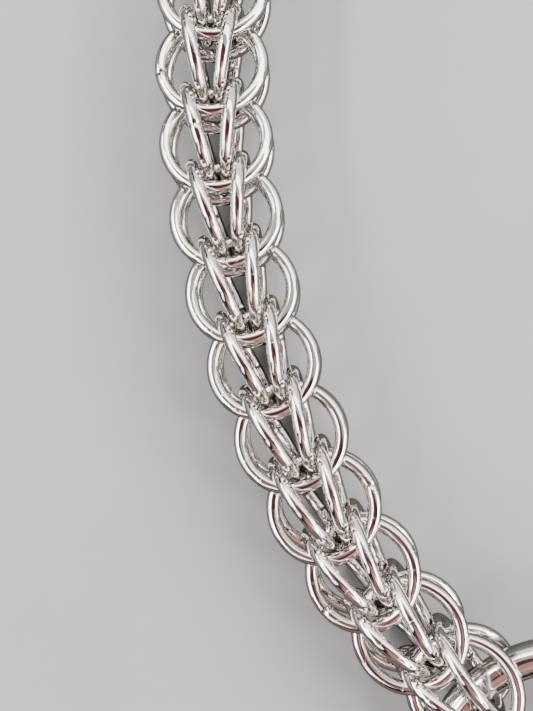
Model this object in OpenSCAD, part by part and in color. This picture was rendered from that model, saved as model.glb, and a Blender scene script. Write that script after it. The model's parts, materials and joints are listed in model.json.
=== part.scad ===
// Full persian choker lying flat: two runs of six-in-one ring weave, a thick plain ring at
// the front and a plain oval clasp at the back. Millimetres, +Z up, the front ring toward -Y.
// The origin is on the surface, under the middle of the whole outline.

/* [Links] */
// Outer diameter of a link
link_od = 12.7; // [12.6:0.1:13]
// Thickness of the link's wire
link_wire = 1.3; // [1.2:0.05:1.3]
// Spacing of the link pairs along the outside of a bend, where the weave is pulled tight
taut_pitch = 8.85; // [8.4:0.05:8.85]

/* [Front ring] */
// Inner diameter of the front ring
ring_id = 25; // [24:0.5:34]
// Thickness of the front ring
ring_wire = 3.8; // [3.2:0.1:3.8]
// Angle between each run and the loop's middle line, where it leaves the front ring
leave_angle = 60; // [54:1:66]

/* [Loop] */
// Length of the first bend, next to the front ring
first_len = 24; // [20:1:30]
// Radius of the first bend
first_radius = 66; // [60:1:90]
// Length of the flat side
side_len = 67.5; // [60:0.5:80]
// Radius of the flat side
side_radius = 112; // [100:1:160]

/* [Clasp] */
// Length of the clasp over all
clasp_l = 19; // [18:0.5:26]
// Height of the clasp
clasp_h = 12; // [11.4:0.1:12.4]
// Thickness of the clasp's wire
clasp_wire = 2; // [1.6:0.1:2]
// Length of the sleeve on the clasp's gate side
sleeve_l = 6; // [4:0.5:7]

/* [Hidden] */
$fn = 48;

// Centre line radius of a link
link_r = (link_od - link_wire) / 2;

// How the four links of a pair stand off the chain's axis: the upper and lower link lie flat
// with their front ends spread, the two upright links stand on edge with their rear ends
// spread, and the upright ones sit a little further back.
flat_off = 1.97;
flat_tilt = 11.9;
upright_off = 1.8;
upright_tilt = 10.9;
upright_lag = 0.99;

// The last flat links are spread wider, because the front ring passes between them
last_flat_off = 2.3;
last_flat_tilt = 16;

// From the front ring's wire to the middle of the first pair, and from the middle of the last
// pair to the clasp's wire, along the chain
ring_gap = 1.57;
clasp_gap = 3.4;

// Sideways place of the tight line, toward the outside of a bend, where the pairs are evenly
// spaced
tight_off = 4;

ring_r = (ring_id + ring_wire) / 2;
clasp_bend_r = (clasp_h - clasp_wire) / 2;
clasp_straight = clasp_l - clasp_h;

// Height of the chain's axis when the lowest upright link touches the surface at a given roll
function rest_height(roll) =
    link_wire / 2 + upright_off * sin(roll)
    + link_r * sqrt(pow(cos(roll), 2) + pow(sin(upright_tilt) * sin(roll), 2));

// The front ring leans: its front edge lies on the surface and its rear edge is carried by the
// chain ends. The chain ends roll with it.
function lean_for(height) =
    asin((height - ring_wire / 2) / (ring_r * (1 + cos(leave_angle))));
function roll_for(lean) = asin(sin(leave_angle) * sin(lean));

end_roll = roll_for(lean_for(link_od / 2));
ring_lean = lean_for(rest_height(end_roll));
ring_height = ring_wire / 2 + ring_r * sin(ring_lean);

// The chain rolls back to level over this length
roll_len = 110;
function roll_at(t) = t < roll_len ? end_roll * pow(1 - max(t, 0) / roll_len, 2) : 0;

// The route of the left run, seen from above, is a row of arcs that all turn clockwise. A place
// on it is [x, y, heading], with the heading clockwise from +Y and the front ring at [0, 0].
function along_arc(place, length, radius) =
    let (turned = place[2] + length / radius * 180 / PI)
    [place[0] + radius * (cos(place[2]) - cos(turned)),
     place[1] + radius * (sin(turned) - sin(place[2])),
     turned];

start_place = let (reach = ring_r + ring_gap)
    [-reach * sin(leave_angle), reach * cos(leave_angle) * cos(ring_lean), -leave_angle];
first_end = along_arc(start_place, first_len, first_radius);
side_end = along_arc(first_end, side_len, side_radius);

// The last arc ends square to the middle line, at the clasp
clasp_reach = clasp_straight / 2 + clasp_bend_r + clasp_gap;
back_radius = (-clasp_reach - side_end[0]) / cos(side_end[2]);
back_len = back_radius * (90 - side_end[2]) * PI / 180;

// [length, radius] of each bend, from the front ring to the clasp
BENDS = [[first_len, first_radius], [side_len, side_radius], [back_len, back_radius]];

function place_at(t, place = start_place, i = 0) =
    i == len(BENDS) - 1 || t <= BENDS[i][0]
        ? along_arc(place, t, BENDS[i][1])
        : place_at(t - BENDS[i][0], along_arc(place, BENDS[i][0], BENDS[i][1]), i + 1);

// Length of a bend along the tight outer side, and the way back from there to the axis
function stretch(i) = 1 + tight_off / BENDS[i][1];
function tight_len(i) = BENDS[i][0] * stretch(i);
function axis_len(u, i = 0) =
    i == len(BENDS) - 1 || u <= tight_len(i)
        ? u / stretch(i)
        : BENDS[i][0] + axis_len(u - tight_len(i), i + 1);

tight_total = tight_len(0) + tight_len(1) + tight_len(2);
pairs = ceil(tight_total / taut_pitch) + 1;
tight_step = tight_total / (pairs - 1);

// The middle of the outline, from the front ring's front edge to the last link's outer side
back_end = place_at(first_len + side_len + back_len);
middle_y = (back_end[1] + link_od / 2 - ring_r * cos(ring_lean) - ring_wire / 2) / 2;

module round_ring(radius, wire) {
    rotate_extrude() translate([radius, 0]) circle(d = wire);
}

module link() {
    round_ring(link_r, link_wire);
}

// Puts its children on the chain's axis, with their Y along it, X sideways and Z up
module at_route(t) {
    place = place_at(t);
    roll = roll_at(t);
    translate([place[0], place[1] - middle_y, rest_height(roll)])
        rotate([0, -roll, -place[2]]) children();
}

module flat_links(t, off, tilt) {
    at_route(t) {
        for (side = [-1, 1])
            translate([0, 0, side * off]) rotate([-side * tilt, 0, 0]) link();
    }
}

module upright_links(t) {
    at_route(t + upright_lag) {
        for (side = [-1, 1])
            translate([side * upright_off, 0, 0]) rotate([0, 90, -side * upright_tilt]) link();
    }
}

module run_of_links() {
    for (i = [0 : pairs - 1]) {
        t = axis_len(i * tight_step);
        flat_links(t, i == 0 ? last_flat_off : flat_off, i == 0 ? last_flat_tilt : flat_tilt);
        upright_links(t);
    }
}

module chain_left() {
    color("silver") run_of_links();
}

module chain_right() {
    color("silver") mirror([1, 0, 0]) run_of_links();
}

module front_ring() {
    color("gainsboro")
        translate([0, -middle_y, ring_height])
            rotate([ring_lean, 0, 0]) round_ring(ring_r, ring_wire);
}

// A plain oval loop of round wire, standing on edge, with a sleeve on its upper side
module clasp() {
    color("lightgray")
        translate([0, back_end[1] - middle_y, clasp_h / 2]) rotate([90, 0, 0]) {
            for (side = [0, 180])
                rotate([0, 0, side]) translate([clasp_straight / 2, 0, 0])
                    rotate([0, 0, -90])
                        rotate_extrude(angle = 180) translate([clasp_bend_r, 0])
                            circle(d = clasp_wire);
            for (side = [-1, 1])
                translate([-clasp_straight / 2, side * clasp_bend_r, 0]) rotate([0, 90, 0])
                    cylinder(d = clasp_wire, h = clasp_straight);
            translate([-sleeve_l / 2, clasp_bend_r, 0]) rotate([0, 90, 0])
                cylinder(d = 1.5 * clasp_wire, h = sleeve_l);
        }
}

chain_left();
chain_right();
front_ring();
clasp();
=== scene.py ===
# %% [markdown]
# # A full persian choker in polished metal
#
# The real object is a flat-lying loop of six-in-one ring weave. Every link is a short length of
# bright round wire, bent into a ring with its two cut ends pressed together. A thick plain ring
# holds both runs of the weave at the front, and a small oval clasp joins them at the back.
#
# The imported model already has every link, the ring and the clasp at their true places. This
# lesson builds finer shapes on those places, gives them a worn polish, and lights them. Blender
# counts in metres, so each length in millimetres is multiplied by MM.

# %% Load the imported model
import json
import math
import random

import bmesh
import bpy
import numpy as np
from mathutils import Matrix, Vector

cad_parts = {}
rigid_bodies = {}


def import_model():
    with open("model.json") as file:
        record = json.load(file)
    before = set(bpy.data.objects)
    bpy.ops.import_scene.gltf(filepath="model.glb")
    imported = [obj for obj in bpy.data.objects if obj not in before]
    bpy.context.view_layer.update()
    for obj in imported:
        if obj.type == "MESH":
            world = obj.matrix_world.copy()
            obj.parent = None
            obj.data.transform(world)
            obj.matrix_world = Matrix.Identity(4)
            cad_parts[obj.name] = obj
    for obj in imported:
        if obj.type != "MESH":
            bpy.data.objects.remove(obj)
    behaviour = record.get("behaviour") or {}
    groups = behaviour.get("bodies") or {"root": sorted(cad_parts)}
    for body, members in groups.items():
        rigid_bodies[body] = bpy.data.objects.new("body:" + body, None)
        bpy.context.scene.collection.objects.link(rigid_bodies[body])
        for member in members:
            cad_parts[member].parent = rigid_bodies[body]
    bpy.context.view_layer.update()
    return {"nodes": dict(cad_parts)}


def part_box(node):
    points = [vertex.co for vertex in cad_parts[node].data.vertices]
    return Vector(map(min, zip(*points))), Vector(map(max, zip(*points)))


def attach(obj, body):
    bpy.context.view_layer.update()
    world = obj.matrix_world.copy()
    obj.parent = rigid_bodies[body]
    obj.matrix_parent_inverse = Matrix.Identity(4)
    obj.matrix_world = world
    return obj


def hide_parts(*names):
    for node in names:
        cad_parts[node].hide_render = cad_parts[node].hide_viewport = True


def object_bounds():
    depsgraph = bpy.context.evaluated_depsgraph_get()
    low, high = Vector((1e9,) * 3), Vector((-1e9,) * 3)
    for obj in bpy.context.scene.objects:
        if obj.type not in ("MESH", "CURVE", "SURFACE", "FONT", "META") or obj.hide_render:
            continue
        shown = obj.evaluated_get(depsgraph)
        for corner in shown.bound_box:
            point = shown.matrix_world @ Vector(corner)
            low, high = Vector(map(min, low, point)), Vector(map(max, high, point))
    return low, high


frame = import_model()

MM = 0.001


def in_mm(length):
    """A length in millimetres, rounded for printing."""
    return round(length / MM, 2)


print("packed nodes:", ", ".join(sorted(frame["nodes"])))

# %% [markdown]
# ## The camera
#
# The picture is a close view from almost straight above, so near links look clearly larger than
# far ones. That pull is set by the camera's distance, about ten centimetres, and not by its
# lens. The lens only says how much of the scene fits in the frame.
#
# The turn is written as one vector. The camera starts out looking straight down, and turns round
# that vector by its length, in radians.

# %% Camera
CAMERA_PLACE = Vector((-39.5, -25.3, 103.4)) * MM
CAMERA_TURN = Vector((0.027, 0.0255, 0.1965))
FOCAL_PIXELS = 860
FRAME_HEIGHT = 711
SENSOR = 36
NEAREST_SEEN = 2 * MM
FARTHEST_SEEN = 10

camera_data = bpy.data.cameras.new("camera")
camera_data.sensor_width = SENSOR
camera_data.lens = FOCAL_PIXELS * SENSOR / FRAME_HEIGHT
camera_data.clip_start = NEAREST_SEEN
camera_data.clip_end = FARTHEST_SEEN
camera = bpy.data.objects.new("camera", camera_data)
bpy.context.scene.collection.objects.link(camera)
turn = Matrix.Rotation(CAMERA_TURN.length, 4, CAMERA_TURN.normalized())
camera.matrix_world = Matrix.Translation(CAMERA_PLACE) @ turn
bpy.context.scene.camera = camera
print("camera height in mm:", in_mm(CAMERA_PLACE.z), "lens:", round(camera_data.lens, 2))

# %% [markdown]
# ## Helpers for modelling by hand
#
# An operator acts on everything that is selected. So each piece starts from an empty selection,
# and its vertices are picked by a test of their place.

# %% Selection helpers
def deselect_everything():
    """Leaves nothing selected and nothing active."""
    for thing in bpy.context.selected_objects:
        thing.select_set(False)
    bpy.context.view_layer.objects.active = None


def pick(piece, is_wanted):
    """In edit mode, selects the vertices whose place passes the test."""
    bpy.ops.mesh.select_mode(type="VERT")
    bpy.ops.mesh.select_all(action="DESELECT")
    shape = bmesh.from_edit_mesh(piece.data)
    for vertex in shape.verts:
        vertex.select = is_wanted(vertex.co)
    shape.select_flush(True)
    bmesh.update_edit_mesh(piece.data)


deselect_everything()
print("objects selected:", len(bpy.context.selected_objects))

# %% [markdown]
# ## Where each link is
#
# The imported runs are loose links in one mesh. Corners that share a place belong to one link, so
# a label that is passed from corner to corner ends up the same all over a link.
#
# A ring is the same on both sides of its middle, so the middle of its box is its centre, and its
# axis is the direction in which its points spread least.

# %% Split a run into its links
PLACE_DIGITS = 7


def shared_corners(mesh):
    """The places of a mesh's corners, each once, and the three of each triangle by number."""
    corners = np.empty(len(mesh.vertices) * 3)
    mesh.vertices.foreach_get("co", corners)
    rounded = corners.reshape(-1, 3).round(PLACE_DIGITS)
    places, number = np.unique(rounded, axis=0, return_inverse=True)
    used = np.empty(len(mesh.loops), int)
    mesh.loops.foreach_get("vertex_index", used)
    return places, number.ravel()[used].reshape(-1, 3)


def loose_parts(mesh):
    """The corner places of each loose part of a mesh."""
    places, triangles = shared_corners(mesh)
    label = np.arange(len(places))
    while True:
        lowest = label[triangles].min(axis=1)
        passed = label.copy()
        np.minimum.at(passed, triangles.ravel(), np.repeat(lowest, 3))
        passed = passed[passed]
        if (passed == label).all():
            break
        label = passed
    return [places[label == name] for name in np.unique(label)]


ring_parts = loose_parts(frame["nodes"]["front_ring"].data)
print("loose parts in the front ring:", len(ring_parts))

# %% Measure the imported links
ORDER_DIGITS = 5


def measure_ring(places):
    """The centre and the axis of a ring, the axis pointing upwards."""
    centre = (places.min(axis=0) + places.max(axis=0)) / 2
    axis = Vector(np.linalg.svd(places - centre, full_matrices=False)[2][2])
    if axis.z < 0:
        axis = -axis
    return Vector(centre), axis


def front_to_back(measured):
    """Sorts measured links by how far back they are, and then from left to right."""
    centre = measured[0]
    return round(centre.y, ORDER_DIGITS), round(centre.x, ORDER_DIGITS)


def links_of(node):
    """Centre and axis of every link of a run, from the front ring to the clasp."""
    links = [measure_ring(part) for part in loose_parts(frame["nodes"][node].data)]
    return sorted(links, key=front_to_back)


left_links = links_of("chain_left")
right_links = links_of("chain_right")
print("links on the left and on the right:", len(left_links), len(right_links))

# %% [markdown]
# ## One link
#
# A real link is sawn from a coil of wire and closed with pliers, so there is a hair-thin seam
# where its ends meet. The link starts as a torus. One section of it is bevelled into three, and
# the middle one is shrunk, which leaves a fine groove round the wire.
#
# Two attributes are stored for the metal's shader: where the seam is, and where each point lies
# on the wire's section. The second lets drawing lines follow the wire all the way round. Its
# third number grows on a slant across the ring, so that the lines change on their way round.

# %% Store where the seam and the wire's section are
SEAM_HALF_WIDTH = 0.05 * MM
SEAM_MIDDLE = SEAM_HALF_WIDTH / 8
SLANT_X = 0.6
SLANT_Y = 0.8


def add_wire_attributes(piece, radius):
    """Stores each point's place on the wire's section, and which points are in the seam."""
    mesh = piece.data
    place = np.empty(len(mesh.vertices) * 3)
    mesh.vertices.foreach_get("co", place)
    x, y, z = place.reshape(-1, 3).T
    outward = np.hypot(x, y) - radius
    slanted = x * SLANT_X + y * SLANT_Y
    section = mesh.attributes.new("section", "FLOAT_VECTOR", "POINT")
    section.data.foreach_set("vector", np.column_stack((outward, z, slanted)).ravel())
    in_seam = (np.abs(y) < SEAM_MIDDLE) & (x < 0)
    seam = mesh.attributes.new("seam", "FLOAT", "POINT")
    seam.data.foreach_set("value", in_seam.astype(np.float32))


print("seam width in mm:", in_mm(2 * SEAM_HALF_WIDTH))

# %% Model one link
LINK_WIRE = 1.5 * MM
LINK_RADIUS = 5.66 * MM
LINK_STEPS_AROUND = 64
LINK_STEPS_ACROSS = 16
SEAM_DEPTH = 0.06 * MM
SECTION_REACH = 0.1 * MM


def model_ring(name, radius, wire, around, across):
    """A closed ring of round wire, with a fine seam on its -X side."""
    deselect_everything()
    bpy.ops.mesh.primitive_torus_add(
        major_radius=radius,
        minor_radius=wire / 2,
        major_segments=around,
        minor_segments=across,
    )
    ring = bpy.context.object
    ring.name = name
    bpy.ops.object.mode_set(mode="EDIT")
    pick(ring, lambda place: place.x < 0 and abs(place.y) < SECTION_REACH)
    bpy.ops.mesh.bevel(offset=SEAM_HALF_WIDTH, segments=2, affect="EDGES")
    pick(ring, lambda place: place.x < 0 and abs(place.y) < SEAM_MIDDLE)
    shrink = 1 - SEAM_DEPTH / (wire / 2)
    bpy.ops.transform.resize(value=(shrink, 1, shrink), center_override=(-radius, 0, 0))
    bpy.ops.object.mode_set(mode="OBJECT")
    bpy.ops.object.shade_smooth()
    add_wire_attributes(ring, radius)
    return ring


link = model_ring("link", LINK_RADIUS, LINK_WIRE, LINK_STEPS_AROUND, LINK_STEPS_ACROSS)
print("faces in one link:", len(link.data.polygons))

# %% [markdown]
# ## Two runs of links
#
# Each link is a copy of the first one with its own mesh, turned so that its seam lies where a
# maker would hide it: under its neighbours or on the lower side. Loose links wander, so each
# one is turned a little by chance, and a few have turned until the seam shows. The places of
# those seams are listed. The copies of a run are joined into one piece.

# %% Decide where each seam lies
WANDER = math.radians(28)
UPRIGHT_LIMIT = 0.7
SEAM_REACH = 0.5 * MM
SHOWN_SEAMS = (
    # x, y and z in millimetres
    (-54.4, -0.3, 12.0),
    (-59.8, 5.5, 8.5),
    (-48.5, -14.1, 9.5),
    (-28.2, -34.8, 9.1),
    (-30.2, -49.2, 8.0),
)


def shown_seam(centre, axis):
    """Points from a link's centre to the listed seam that is on it, if there is one."""
    for place in SHOWN_SEAMS:
        spoke = Vector(place) * MM - centre
        in_plane = abs(spoke.dot(axis)) < SEAM_REACH
        on_wire = abs(spoke.length - LINK_RADIUS) < SEAM_REACH
        if in_plane and on_wire:
            return spoke
    return None


def hidden_seam(centre, axis, chance):
    """Points down on an upright link and along the run on a flat one, with a little chance."""
    if abs(axis.z) < UPRIGHT_LIMIT:
        hidden = Vector((0, 0, -1))
    else:
        to_clasp = 1 if centre.x < 0 else -1
        hidden = Vector((centre.y, -centre.x, 0)) * to_clasp
    return Matrix.Rotation(chance.uniform(-WANDER, WANDER), 3, axis) @ hidden


found = [shown_seam(*measured) is not None for measured in left_links + right_links]
print("seams that show:", sum(found), "of", len(SHOWN_SEAMS), "listed")

# %% Copy the links along the runs
SEED = 11


def place_link(centre, axis, seam_toward, tone):
    """A copy of the link with the centre and axis given, its seam turned the way given."""
    seam_at = (seam_toward - axis * seam_toward.dot(axis)).normalized()
    side = axis.cross(-seam_at)
    turned = Matrix((-seam_at, side, axis)).transposed().to_4x4()
    copy = bpy.data.objects.new("link_copy", link.data.copy())
    bpy.context.scene.collection.objects.link(copy)
    copy.data.transform(Matrix.Translation(centre) @ turned)
    shade = copy.data.attributes.new("tone", "FLOAT", "POINT")
    shade.data.foreach_set("value", np.full(len(copy.data.vertices), tone, np.float32))
    return copy


def make_run(name, links):
    """Copies the link to every place of a run, and joins the copies."""
    chance = random.Random(SEED)
    copies = []
    for centre, axis in links:
        seam_toward = shown_seam(centre, axis)
        if seam_toward is None:
            seam_toward = hidden_seam(centre, axis, chance)
        copies.append(place_link(centre, axis, seam_toward, chance.random()))
    deselect_everything()
    for copy in copies:
        copy.select_set(True)
    bpy.context.view_layer.objects.active = copies[0]
    bpy.ops.object.join()
    run = bpy.context.object
    run.name = name
    run.data.name = name
    return run


left_run = make_run("left_run", left_links)
right_run = make_run("right_run", right_links)
bpy.data.objects.remove(link)
print("triangles in a run:", 2 * len(left_run.data.polygons))

# %% [markdown]
# ## The front ring
#
# The thick ring is welded and polished, so it has no open seam, only a trace of the weld. It
# leans: its front lies on the surface and the chain ends carry its rear. Its place is measured
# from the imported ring, as for the links.

# %% Model the front ring
RING_WIRE = 3.8 * MM
RING_STEPS_AROUND = 160
RING_STEPS_ACROSS = 40

ring_centre, ring_axis = measure_ring(ring_parts[0])
ring_low, ring_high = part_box("front_ring")
ring_radius = (ring_high.x - ring_low.x - RING_WIRE) / 2

front_loop = model_ring(
    "front_loop", ring_radius, RING_WIRE, RING_STEPS_AROUND, RING_STEPS_ACROSS
)
lean = Vector((0, 0, 1)).rotation_difference(ring_axis).to_matrix().to_4x4()
front_loop.data.transform(Matrix.Translation(ring_centre) @ lean)
print("front ring radius in mm:", in_mm(ring_radius))

# %% [markdown]
# ## The clasp
#
# The clasp is a small oval of wire with a sleeve on its upper side. It is made as one tube: a
# circle is pushed along the straight, widened and narrowed where the sleeve is, and spun round
# both ends until it meets its own start.
#
# The sleeve has a sharp edge at its end and a fine groove near it. That outline is a short table
# for one end, and the other end mirrors it.

# %% Outline of the sleeve
SLEEVE_LENGTH = 6 * MM
SLEEVE_END = (
    # millimetres in from the end, width in wires
    (-0.15, 1.0),
    (0.0, 0.97),
    (0.02, 1.4),
    (0.10, 1.5),
    (0.70, 1.5),
    (0.78, 1.395),
    (0.86, 1.5),
)

sleeve_left = [(-SLEEVE_LENGTH / 2 + inward * MM, width) for inward, width in SLEEVE_END]
sleeve_right = [(-place, width) for place, width in reversed(sleeve_left)]
print("circles along the sleeve:", len(sleeve_left + sleeve_right))

# %% Helpers for the clasp's tube
CLASP_WIRE = 2 * MM
CLASP_END_RADIUS = 6 * MM
CLASP_SIDES = 32
CLASP_STEPS = 24

clasp_low, clasp_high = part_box("clasp")
clasp_centre = (clasp_low + clasp_high) / 2
clasp_centre.z = clasp_low.z + CLASP_END_RADIUS
bend_radius = CLASP_END_RADIUS - CLASP_WIRE / 2
half_straight = (clasp_high.x - clasp_low.x) / 2 - CLASP_END_RADIUS


def push_circle(at, stations):
    """Extrudes the picked circle along X to each place in turn, and gives it the width there."""
    width = 1.0
    for next_at, next_width in stations:
        step = (next_at - at, 0, 0)
        bpy.ops.mesh.extrude_region_move(TRANSFORM_OT_translate={"value": step})
        widen = next_width / width
        middle = (next_at, 0, bend_radius)
        bpy.ops.transform.resize(value=(1, widen, widen), center_override=middle)
        at = next_at
        width = next_width


def spin_end(at):
    """Spins the picked circle half a turn round the oval's end. The minus turns it outwards."""
    bpy.ops.mesh.spin(steps=CLASP_STEPS, angle=-math.pi, center=(at, 0, 0), axis=(0, 1, 0))


print("clasp straight in mm:", in_mm(2 * half_straight), "bend:", in_mm(bend_radius))

# %% Model the clasp
MEETING_GAP = 0.005 * MM
SHARP_EDGE = math.radians(35)

deselect_everything()
bpy.ops.mesh.primitive_circle_add(
    vertices=CLASP_SIDES,
    radius=CLASP_WIRE / 2,
    location=(-half_straight, 0, bend_radius),
    rotation=(0, math.radians(90), 0),
)
clasp_loop = bpy.context.object
clasp_loop.name = "clasp_loop"
bpy.ops.object.transform_apply(location=True, rotation=True, scale=True)
bpy.ops.object.mode_set(mode="EDIT")
bpy.ops.mesh.select_all(action="SELECT")
push_circle(-half_straight, sleeve_left + sleeve_right + [(half_straight, 1.0)])
spin_end(half_straight)
push_circle(half_straight, [(-half_straight, 1.0)])
spin_end(-half_straight)
bpy.ops.mesh.select_all(action="SELECT")
bpy.ops.mesh.remove_doubles(threshold=MEETING_GAP)
bpy.ops.mesh.normals_make_consistent(inside=False)
bpy.ops.object.mode_set(mode="OBJECT")
bpy.ops.object.shade_smooth_by_angle(angle=SHARP_EDGE)
clasp_loop.data.transform(Matrix.Translation(clasp_centre))
print("clasp faces:", len(clasp_loop.data.polygons))
print("clasp length in mm:", in_mm(clasp_loop.dimensions.x))
print("packed clasp length in mm:", in_mm(clasp_high.x - clasp_low.x))

# %% [markdown]
# ## Helpers for shader nodes
#
# A material is a net of small nodes. Each helper here adds one node, sets or wires its inputs,
# and hands back its output, so that a mark or a colour can be written as one line.

# %% Add a node and feed it
def add_node(tree, kind, **settings):
    """Adds a node of one kind, with its settings."""
    node = tree.nodes.new(kind)
    for key, value in settings.items():
        setattr(node, key, value)
    return node


def feed(tree, socket, value):
    """Wires another node's output to an input, or sets the input to a number or a colour."""
    if isinstance(value, bpy.types.NodeSocket):
        tree.links.new(value, socket)
    elif isinstance(value, tuple):
        socket.default_value = (*value, 1)
    else:
        socket.default_value = value


def add_math(tree, operation, first, second):
    """Adds or multiplies two values."""
    node = add_node(tree, "ShaderNodeMath", operation=operation)
    feed(tree, node.inputs[0], first)
    feed(tree, node.inputs[1], second)
    return node.outputs[0]


def add_mix(tree, factor, first, second, blend_type="MIX"):
    """Mixes two colours."""
    node = add_node(tree, "ShaderNodeMix", data_type="RGBA", blend_type=blend_type)
    feed(tree, node.inputs["Factor"], factor)
    feed(tree, node.inputs["A"], first)
    feed(tree, node.inputs["B"], second)
    return node.outputs["Result"]


print("helpers: add_node, feed, add_math, add_mix")

# %% Add a pattern, a fade or a bump
def add_stretch(tree, vector, scale):
    """Stretches the places that a pattern reads, by its own amount along each axis."""
    node = add_node(tree, "ShaderNodeMapping")
    node.inputs["Scale"].default_value = scale
    feed(tree, node.inputs["Vector"], vector)
    return node.outputs["Vector"]


def add_noise(tree, vector, scale, detail=2, roughness=0.5):
    """Soft blotches by chance, about as many to a metre as the scale says."""
    node = add_node(tree, "ShaderNodeTexNoise")
    node.inputs["Scale"].default_value = scale
    node.inputs["Detail"].default_value = detail
    node.inputs["Roughness"].default_value = roughness
    feed(tree, node.inputs["Vector"], vector)
    return node.outputs["Fac"]


def add_fade(tree, value, start, end, at_start=0, at_end=1):
    """Goes from one number to another while the value goes from start to end."""
    node = add_node(tree, "ShaderNodeMapRange")
    node.inputs["From Min"].default_value = start
    node.inputs["From Max"].default_value = end
    node.inputs["To Min"].default_value = at_start
    node.inputs["To Max"].default_value = at_end
    feed(tree, node.inputs["Value"], value)
    return node.outputs["Result"]


def add_bump(tree, height, strength, distance):
    """Turns heights into normals, so that light falls on them as on real dents."""
    node = add_node(tree, "ShaderNodeBump")
    node.inputs["Strength"].default_value = strength
    node.inputs["Distance"].default_value = distance
    feed(tree, node.inputs["Height"], height)
    return node.outputs["Normal"]


print("helpers: add_stretch, add_noise, add_fade, add_bump")

# %% [markdown]
# ## Wear on polished wire
#
# Polished wire isn't a perfect mirror. Drawing the wire through a die leaves faint lines along
# it, handling leaves soft smudges, and pliers and wear leave small dents, pits and short nicks
# across the wire. Noise stretched along the section makes the lines, and noise squeezed along it
# makes the nicks. Only its peaks count as nicks, so they stay rare.
#
# These marks are one node group, so that the thin links and the thick ring share them with their
# own values.

# %% Marks on the wire
# stretches along the section's three numbers, then scales
LINES_IN_A_METRE = (3400, 3400, 60)
NICKS_IN_A_METRE = (500, 500, 5200)
DENTS_IN_A_METRE = 900
PITS_IN_A_METRE = 1100
SMUDGES_IN_A_METRE = 260
NICK_PEAK = (0.66, 0.74)
SMUDGE_EDGE = (0.45, 0.7)
PIT_SIZE = 0.13


def drawing_lines(tree, section):
    """Faint lines along the wire."""
    return add_noise(tree, add_stretch(tree, section, LINES_IN_A_METRE), 1)


def nicks(tree, section):
    """Short nicks across the wire: 1 in a nick, 0 beside it."""
    noise = add_noise(tree, add_stretch(tree, section, NICKS_IN_A_METRE), 1, detail=1)
    return add_fade(tree, noise, *NICK_PEAK)


def pits(tree, place):
    """Small round pits: 1 in the middle of a pit, 0 beside it."""
    cells = add_node(tree, "ShaderNodeTexVoronoi")
    cells.inputs["Scale"].default_value = PITS_IN_A_METRE
    feed(tree, cells.inputs["Vector"], place)
    return add_fade(tree, cells.outputs["Distance"], 0, PIT_SIZE, at_start=1, at_end=0)


def smudges(tree, place):
    """Soft patches from handling: 1 in a patch, 0 beside it."""
    noise = add_noise(tree, place, SMUDGES_IN_A_METRE, detail=4, roughness=0.6)
    return add_fade(tree, noise, *SMUDGE_EDGE)


print("marks: lines, nicks, pits, smudges and dents")

# %% Group of wear marks
MARK_DEPTH = 0.3
MARK_DULLNESS = 0.2


def make_wear_group():
    """Adds the marks up to a tarnish mask, a roughness and a height."""
    group = bpy.data.node_groups.new("polish wear", "ShaderNodeTree")
    for name in ("Place", "Section"):
        group.interface.new_socket(name, in_out="INPUT", socket_type="NodeSocketVector")
    for name in ("Line Depth", "Dent Depth", "Polish", "Smudge"):
        group.interface.new_socket(name, in_out="INPUT", socket_type="NodeSocketFloat")
    for name in ("Tarnish", "Roughness", "Height"):
        group.interface.new_socket(name, in_out="OUTPUT", socket_type="NodeSocketFloat")
    given = add_node(group, "NodeGroupInput").outputs
    result = add_node(group, "NodeGroupOutput").inputs

    smudged = smudges(group, given["Place"])
    worn_pits = add_math(group, "MULTIPLY", pits(group, given["Place"]), smudged)
    marks = add_math(group, "ADD", worn_pits, nicks(group, given["Section"]))

    lines = drawing_lines(group, given["Section"])
    dents = add_noise(group, given["Place"], DENTS_IN_A_METRE, detail=1)
    line_height = add_math(group, "MULTIPLY", lines, given["Line Depth"])
    dent_height = add_math(group, "MULTIPLY", dents, given["Dent Depth"])
    mark_height = add_math(group, "MULTIPLY", marks, -MARK_DEPTH)
    surface = add_math(group, "ADD", line_height, dent_height)
    height = add_math(group, "ADD", surface, mark_height)

    smudge_dull = add_math(group, "MULTIPLY", smudged, given["Smudge"])
    mark_dull = add_math(group, "MULTIPLY", marks, MARK_DULLNESS)
    dull = add_math(group, "ADD", smudge_dull, mark_dull)
    roughness = add_math(group, "ADD", dull, given["Polish"])

    feed(group, result["Tarnish"], smudged)
    feed(group, result["Roughness"], roughness)
    feed(group, result["Height"], height)
    return group


wear_group = make_wear_group()
print("nodes in the group:", len(wear_group.nodes))

# %% [markdown]
# ## The three metals
#
# The links, the ring and the clasp are the same bright steel, which is a little darker than
# silver. Each material places the group with its own values and tints the metal where it is
# smudged. Every link has its own faint tone, and the seam is darkened, because it is too narrow
# for light to reach its bottom.

# %% Metal materials
STEEL = (0.71, 0.69, 0.655)
SMUDGED_STEEL = (0.64, 0.61, 0.57)
DARKEST_TONE = 0.94
SEAM_SHADE = 0.35
BUMP_STRENGTH = 0.8
BUMP_HEIGHT = 0.03 * MM


def shade_by_link(tree, colour):
    """Gives each link its own faint tone, and paints shade into the seam."""
    tone = add_node(tree, "ShaderNodeAttribute", attribute_name="tone").outputs["Fac"]
    seam = add_node(tree, "ShaderNodeAttribute", attribute_name="seam").outputs["Fac"]
    own = add_fade(tree, tone, 0, 1, at_start=DARKEST_TONE, at_end=1)
    dark = add_fade(tree, seam, 0, 1, at_start=1, at_end=SEAM_SHADE)
    shade = add_math(tree, "MULTIPLY", own, dark)
    return add_mix(tree, 1, colour, shade, blend_type="MULTIPLY")


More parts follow.
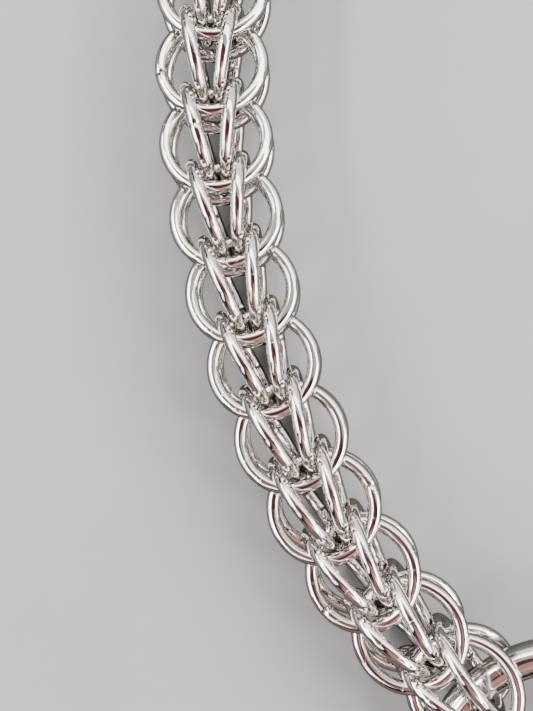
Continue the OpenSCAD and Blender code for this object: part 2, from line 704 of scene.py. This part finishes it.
def make_metal(name, line_depth, dent_depth, polish, smudge, with_seam=True):
    """Polished steel with wear of the depths and dullness given."""
    metal = bpy.data.materials.new(name)
    metal.use_nodes = True
    tree = metal.node_tree
    place = add_node(tree, "ShaderNodeTexCoord").outputs["Object"]
    section = add_node(tree, "ShaderNodeAttribute", attribute_name="section").outputs["Vector"]
    wear = add_node(tree, "ShaderNodeGroup", node_tree=wear_group)
    feed(tree, wear.inputs["Place"], place)
    feed(tree, wear.inputs["Section"], section)
    feed(tree, wear.inputs["Line Depth"], line_depth)
    feed(tree, wear.inputs["Dent Depth"], dent_depth)
    feed(tree, wear.inputs["Polish"], polish)
    feed(tree, wear.inputs["Smudge"], smudge)

    colour = add_mix(tree, wear.outputs["Tarnish"], STEEL, SMUDGED_STEEL)
    if with_seam:
        colour = shade_by_link(tree, colour)
    normal = add_bump(tree, wear.outputs["Height"], BUMP_STRENGTH, BUMP_HEIGHT)
    shader = tree.nodes["Principled BSDF"]
    shader.inputs["Metallic"].default_value = 1.0
    feed(tree, shader.inputs["Base Color"], colour)
    feed(tree, shader.inputs["Roughness"], wear.outputs["Roughness"])
    feed(tree, shader.inputs["Normal"], normal)
    return metal


link_metal = make_metal(
    "polished link wire", line_depth=0.35, dent_depth=0.2, polish=0.06, smudge=0.10
)
ring_metal = make_metal(
    "polished ring", line_depth=0.25, dent_depth=0.3, polish=0.10, smudge=0.12
)
clasp_metal = make_metal(
    "polished clasp", line_depth=0.0, dent_depth=0.6, polish=0.08, smudge=0.12, with_seam=False
)
for piece, metal in (
    (left_run, link_metal),
    (right_run, link_metal),
    (front_loop, ring_metal),
    (clasp_loop, clasp_metal),
):
    piece.data.materials.clear()
    piece.data.materials.append(metal)
print("metals:", link_metal.name, "/", ring_metal.name, "/", clasp_metal.name)

# %% [markdown]
# ## The surface
#
# The choker lies on a plain pale surface. A perfectly even floor looks unreal next to metal, so
# it gets a very faint mottle and grain.
#
# The rims of a polished wire mirror the floor. Over a pale floor they would melt into it, and
# the weave would lose its drawing. The Light Path node tells which kind of ray asks for the
# colour, so the floor is pale when it is looked at and nearly black when the metal mirrors it.

# %% Floor paint
FLOOR_SHADE = (0.180, 0.177, 0.173)
FLOOR_LIGHTER_SHADE = (0.207, 0.204, 0.200)
MIRRORED_FLOOR = (0.010, 0.0095, 0.009)
FLOOR_ROUGHNESS = 0.7
MOTTLES_IN_A_METRE = 60
GRAINS_IN_A_METRE = 2500
GRAIN_STRENGTH = 0.15
GRAIN_HEIGHT = 0.05 * MM


def make_floor_paint():
    """A pale matt paint that the metal mirrors dark."""
    paint = bpy.data.materials.new("pale floor")
    paint.use_nodes = True
    tree = paint.node_tree
    place = add_node(tree, "ShaderNodeTexCoord").outputs["Object"]
    mottle = add_noise(tree, place, MOTTLES_IN_A_METRE, detail=5)
    shades = add_mix(tree, mottle, FLOOR_SHADE, FLOOR_LIGHTER_SHADE)
    is_mirrored = add_node(tree, "ShaderNodeLightPath").outputs["Is Glossy Ray"]
    colour = add_mix(tree, is_mirrored, shades, MIRRORED_FLOOR)
    grain = add_noise(tree, place, GRAINS_IN_A_METRE)
    normal = add_bump(tree, grain, GRAIN_STRENGTH, GRAIN_HEIGHT)
    shader = tree.nodes["Principled BSDF"]
    shader.inputs["Roughness"].default_value = FLOOR_ROUGHNESS
    feed(tree, shader.inputs["Base Color"], colour)
    feed(tree, shader.inputs["Normal"], normal)
    return paint


floor_paint = make_floor_paint()
print("floor paint nodes:", len(floor_paint.node_tree.nodes))

# %% Floor
FLOOR_SIZE = 1.7

deselect_everything()
bpy.ops.mesh.primitive_plane_add(size=FLOOR_SIZE, location=(0, 0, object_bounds()[0].z))
floor = bpy.context.object
floor.name = "floor"
floor.data.materials.append(floor_paint)
print("floor height in mm:", in_mm(floor.location.z))

# %% [markdown]
# ## The light
#
# Polished metal shows only what is round it, so the light is planned as a picture in the wire. A
# wide window behind the choker makes the white upper ends of the links, and a hot core inside it
# makes them gleam. Strips on both sides make pairs of white streaks along each wire. A weak
# maroon card hangs almost straight above, with rose and brown cards beside it and in front, and
# they draw the warm lines between the streaks. One rose card hangs close over the front ring, so
# only the ring and the last links show it.
#
# Panels don't hide each other: where two lie in one direction, their light adds up. So the cards
# stand side by side, and a dark line needs a place that no bright panel covers.

# %% Helper for panels
PANEL_DISTANCE = 0.8


def add_panel(name, compass, height_angle, size, glow, colour=(1, 1, 1), distance=PANEL_DISTANCE):
    """A soft panel facing the choker's middle.

    Compass 0 is behind the choker and 90 on its right, in degrees. Sizes and distances are in
    metres, and glow is how bright the panel itself looks.
    """
    data = bpy.data.lights.new(name, "AREA")
    data.shape = "RECTANGLE"
    data.size, data.size_y = size
    data.energy = glow * math.pi * size[0] * size[1]
    data.color = colour
    panel = bpy.data.objects.new(name, data)
    bpy.context.scene.collection.objects.link(panel)
    around = math.radians(compass)
    up = math.radians(height_angle)
    away = Vector((math.sin(around) * math.cos(up), math.cos(around) * math.cos(up), math.sin(up)))
    panel.location = away * distance
    panel.rotation_euler = away.to_track_quat("Z", "Y").to_euler()
    panel.visible_camera = False


def count_lights():
    """How many lights the scene has."""
    return sum(thing.type == "LIGHT" for thing in bpy.context.scene.objects)


print("lights so far:", count_lights())

# %% White panels
add_panel("window", 10, 47, (1.5, 0.30), 7.0, (1, 0.985, 0.94))
add_panel("window core", 10, 47, (1.4, 0.15), 26.0, (1, 0.985, 0.95))
add_panel("window glow", 8, 52, (2.1, 0.74), 0.75, (1, 0.97, 0.93))
add_panel("low window", 6, 17, (1.5, 0.42), 1.8)
for side, turn_to in (("left", -1), ("right", 1)):
    add_panel(side + " high strip", 98 * turn_to, 42, (0.8, 0.10), 36.0)
    add_panel(side + " low strip", 94 * turn_to, 25, (0.9, 0.12), 16.0, (0.98, 0.965, 1))
    add_panel(side + " glow", 96 * turn_to, 31, (1.0, 0.50), 0.62, (1, 0.96, 0.92))
    add_panel(side + " horizon strip", 88 * turn_to, 6, (1.0, 0.10), 1.2)
    add_panel(side + " front panel", 142 * turn_to, 36, (0.12, 0.5), 6.5)
print("lights with the white panels:", count_lights())

# %% Coloured cards
add_panel("maroon card", -155, 78, (0.64, 0.60), 0.12, (1, 0.12, 0.25))
add_panel("left brown card", -104, 59, (0.70, 0.30), 0.40, (1, 0.55, 0.52))
add_panel("right rose card", 108, 54, (0.90, 0.32), 0.65, (1, 0.55, 0.51))
add_panel("front rose card", 166, 43, (0.60, 0.50), 0.60, (1, 0.48, 0.43))
add_panel("near rose card", 178, 61, (0.07, 0.085), 0.55, (1, 0.62, 0.58), distance=0.17)
add_panel("low front card", 180, 11, (0.8, 0.26), 0.35, (1, 0.72, 0.66))
print("lights with the coloured cards:", count_lights())

# %% [markdown]
# ## The room
#
# What no panel covers is the room. It is dim for the metal and pale for the camera, again by
# Light Path, so that a view from the side has no dark wall behind the floor.

# %% Room
ROOM_IN_METAL = (0.025, 0.023, 0.022)
ROOM_TO_CAMERA = (0.72, 0.712, 0.70)

world = bpy.data.worlds.new("dim room")
world.use_nodes = True
room = world.node_tree
is_seen = add_node(room, "ShaderNodeLightPath").outputs["Is Camera Ray"]
room_colour = add_mix(room, is_seen, ROOM_IN_METAL, ROOM_TO_CAMERA)
feed(room, room.nodes["Background"].inputs["Color"], room_colour)
bpy.context.scene.world = world
print("room nodes:", len(room.nodes))

# %% [markdown]
# ## What each piece stands for
#
# Each finished piece rides on the part's one body and replaces its imported node.

# %% Join the pieces to the imported model
for piece, node, slot in (
    (left_run, "chain_left", "links"),
    (right_run, "chain_right", "links"),
    (front_loop, "front_ring", "ring"),
    (clasp_loop, "clasp", "clasp"),
):
    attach(piece, "root")
    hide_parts(node)
print("pieces:", left_run.name, right_run.name, front_loop.name, clasp_loop.name)
